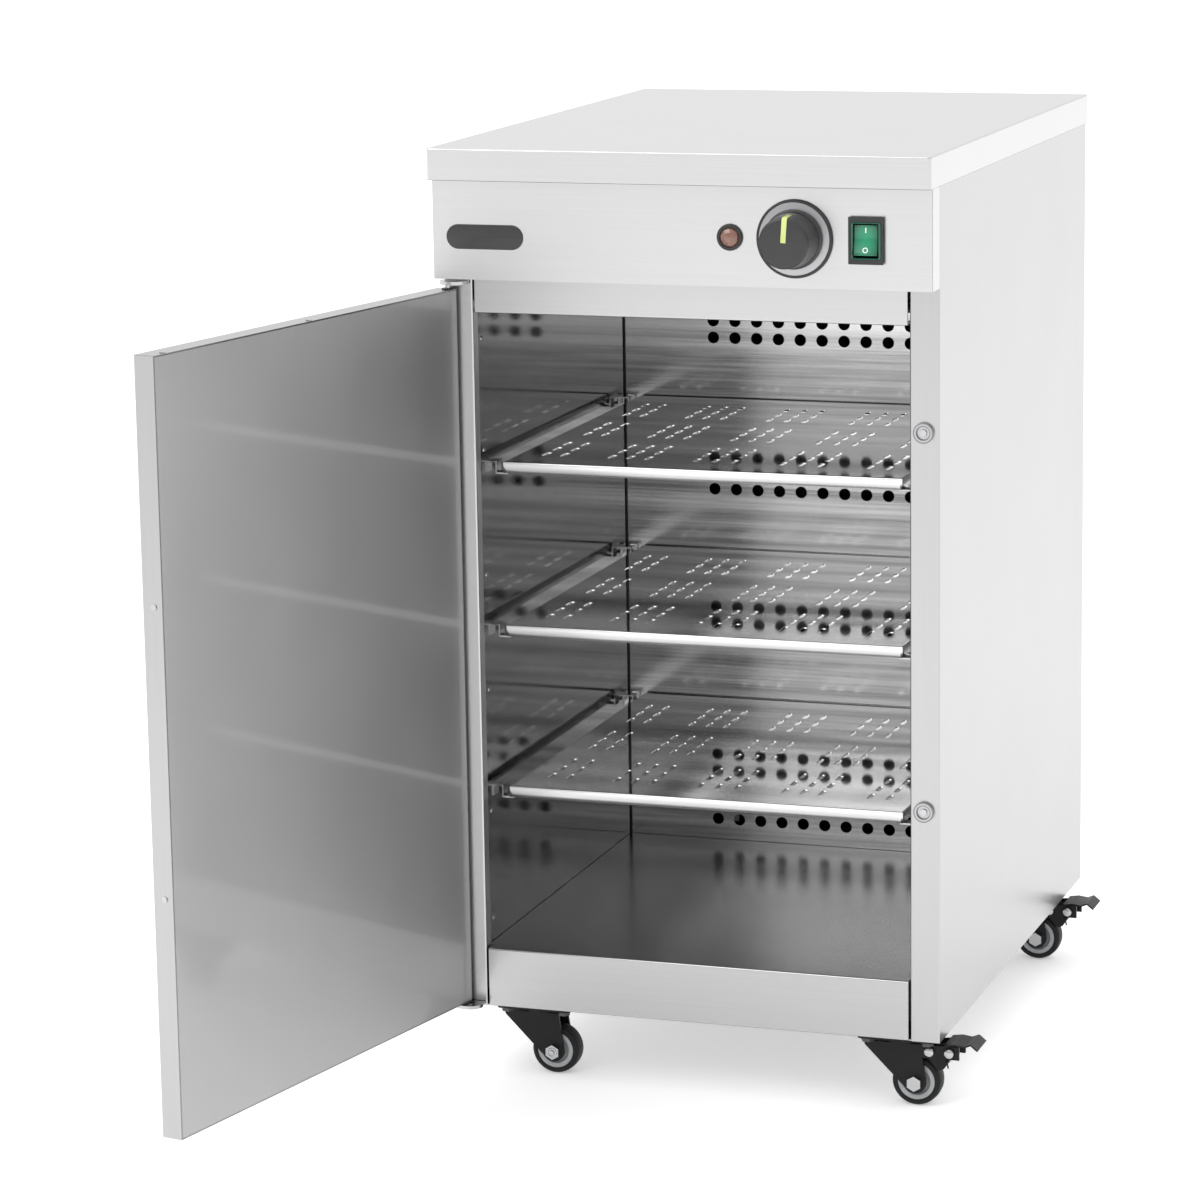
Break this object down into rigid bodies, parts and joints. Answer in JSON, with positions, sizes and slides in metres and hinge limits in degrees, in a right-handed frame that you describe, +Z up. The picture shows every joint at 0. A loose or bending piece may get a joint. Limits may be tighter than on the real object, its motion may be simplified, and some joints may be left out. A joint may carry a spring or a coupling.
{
  "type": "plate warmer cabinet",
  "caption": "Free-standing heated cupboard for plates: folded stainless casing on swivel castors, side-hinged door, perforated shelves, and a control strip along the top.",
  "frame": {"origin": "on the floor, below the middle of the cabinet", "axes": "+Z up, -Y towards the front with the controls, +X to the right when facing the front"},
  "size_m": [0.5772, 1.0343, 0.846],
  "materials": {
    "satin_steel": "satin, fine grain",
    "polished_steel": "bright, lightly brushed",
    "zinc_plated": "bright plated",
    "black_steel": "semi-gloss black",
    "grey_plastic": "smooth",
    "tyre": "smooth tread",
    "mineral_wool": "matt slab",
    "black_plastic": "smooth",
    "knob_plastic": "soft gloss",
    "brass": "turned",
    "aluminium_bezel": "circular brushed",
    "amber_lens": "faceted, translucent",
    "green_rocker": "translucent",
    "element_steel": "heat-darkened",
    "magnet": "dark, smooth"
  },
  "bodies": {
    "cabinet": {"badge_plate": "satin_steel", "base_pan": "satin_steel", "cabinet_insulation": "mineral_wool", "cable_gland": "black_plastic", "castor_bolts": "zinc_plated", "castor_plates": "zinc_plated", "catch_magnets": "magnet", "catch_screws": "zinc_plated", "control_fascia": "satin_steel", "element_brackets": "zinc_plated", "floor_pan": "polished_steel", "header_rail": "satin_steel", "heating_element": "element_steel", "hinge_bracket_bottom": "zinc_plated", "hinge_bracket_top": "zinc_plated", "inner_back_wall": "polished_steel", "inner_ceiling": "polished_steel", "inner_wall_left": "polished_steel", "inner_wall_right": "polished_steel", "knob_bezel": "aluminium_bezel", "lamp_housing": "black_plastic", "lamp_lens": "amber_lens", "left_side_panel": "satin_steel", "rear_panel": "satin_steel", "rear_screws": "zinc_plated", "right_side_panel": "satin_steel", "shelf_bottom": "polished_steel", "shelf_hooks": "polished_steel", "shelf_middle": "polished_steel", "shelf_top": "polished_steel", "switch_housing": "black_plastic", "terminal_block": "black_plastic", "thermostat_body": "black_plastic", "top_cover": "satin_steel"},
    "door": {"door_outer_skin": "satin_steel", "door_inner_skin": "polished_steel", "door_core": "mineral_wool", "door_rivets": "zinc_plated", "door_bushes": "black_plastic"},
    "thermostat": {"thermostat_knob": "knob_plastic", "thermostat_spindle": "brass"},
    "rocker": {"switch_rocker": "green_rocker"},
    "swivel_front_left": {"castor_fork_front_left": "black_steel", "castor_axle_front_left": "zinc_plated"},
    "wheel_front_left": {"castor_rim_front_left": "grey_plastic", "castor_tyre_front_left": "tyre"},
    "swivel_front_right": {"castor_fork_front_right": "black_steel", "castor_axle_front_right": "zinc_plated"},
    "wheel_front_right": {"castor_rim_front_right": "grey_plastic", "castor_tyre_front_right": "tyre"},
    "brake_front_right": {"brake_pedal_front_right": "black_steel"},
    "swivel_rear_left": {"castor_fork_rear_left": "black_steel", "castor_axle_rear_left": "zinc_plated"},
    "wheel_rear_left": {"castor_rim_rear_left": "grey_plastic", "castor_tyre_rear_left": "tyre"},
    "swivel_rear_right": {"castor_fork_rear_right": "black_steel", "castor_axle_rear_right": "zinc_plated"},
    "wheel_rear_right": {"castor_rim_rear_right": "grey_plastic", "castor_tyre_rear_right": "tyre"},
    "brake_rear_right": {"brake_pedal_rear_right": "black_steel"}
  },
  "joints": [
    {"name": "door_hinge", "type": "hinge", "parent": "cabinet", "child": "door", "pos_m": [-0.217, -0.2795, 0.394], "axis": [0, 0, -1], "range_deg": [-102, 10]},
    {"name": "thermostat_turn", "type": "hinge", "parent": "cabinet", "child": "thermostat", "pos_m": [0.1037, -0.2978, 0.7735], "axis": [0, 1, 0], "range_deg": [0, 300]},
    {"name": "rocker_tilt", "type": "hinge", "parent": "cabinet", "child": "rocker", "pos_m": [0.1667, -0.2939, 0.7735], "axis": [1, 0, 0], "range_deg": [0, 15]},
    {"name": "swivel_turn_front_left", "type": "hinge", "parent": "cabinet", "child": "swivel_front_left", "pos_m": [-0.155, -0.24, 0.061], "axis": [0, 0, 1], "continuous": true},
    {"name": "wheel_roll_front_left", "type": "hinge", "parent": "swivel_front_left", "child": "wheel_front_left", "pos_m": [-0.141, -0.24, 0.0225], "axis": [0, 1, 0], "continuous": true},
    {"name": "swivel_turn_front_right", "type": "hinge", "parent": "cabinet", "child": "swivel_front_right", "pos_m": [0.183, -0.24, 0.061], "axis": [0, 0, 1], "continuous": true},
    {"name": "wheel_roll_front_right", "type": "hinge", "parent": "swivel_front_right", "child": "wheel_front_right", "pos_m": [0.197, -0.24, 0.0225], "axis": [0, 1, 0], "continuous": true},
    {"name": "brake_release_front_right", "type": "hinge", "parent": "swivel_front_right", "child": "brake_front_right", "pos_m": [0.21, -0.24, 0.052], "axis": [0, -1, 0], "range_deg": [0, 4]},
    {"name": "swivel_turn_rear_left", "type": "hinge", "parent": "cabinet", "child": "swivel_rear_left", "pos_m": [-0.183, 0.236, 0.061], "axis": [0, 0, 1], "continuous": true},
    {"name": "wheel_roll_rear_left", "type": "hinge", "parent": "swivel_rear_left", "child": "wheel_rear_left", "pos_m": [-0.169, 0.236, 0.0225], "axis": [0, 1, 0], "continuous": true},
    {"name": "swivel_turn_rear_right", "type": "hinge", "parent": "cabinet", "child": "swivel_rear_right", "pos_m": [0.183, 0.236, 0.061], "axis": [0, 0, 1], "continuous": true},
    {"name": "wheel_roll_rear_right", "type": "hinge", "parent": "swivel_rear_right", "child": "wheel_rear_right", "pos_m": [0.197, 0.236, 0.0225], "axis": [0, 1, 0], "continuous": true},
    {"name": "brake_release_rear_right", "type": "hinge", "parent": "swivel_rear_right", "child": "brake_rear_right", "pos_m": [0.21, 0.236, 0.052], "axis": [0, -1, 0], "range_deg": [0, 4]}
  ]
}
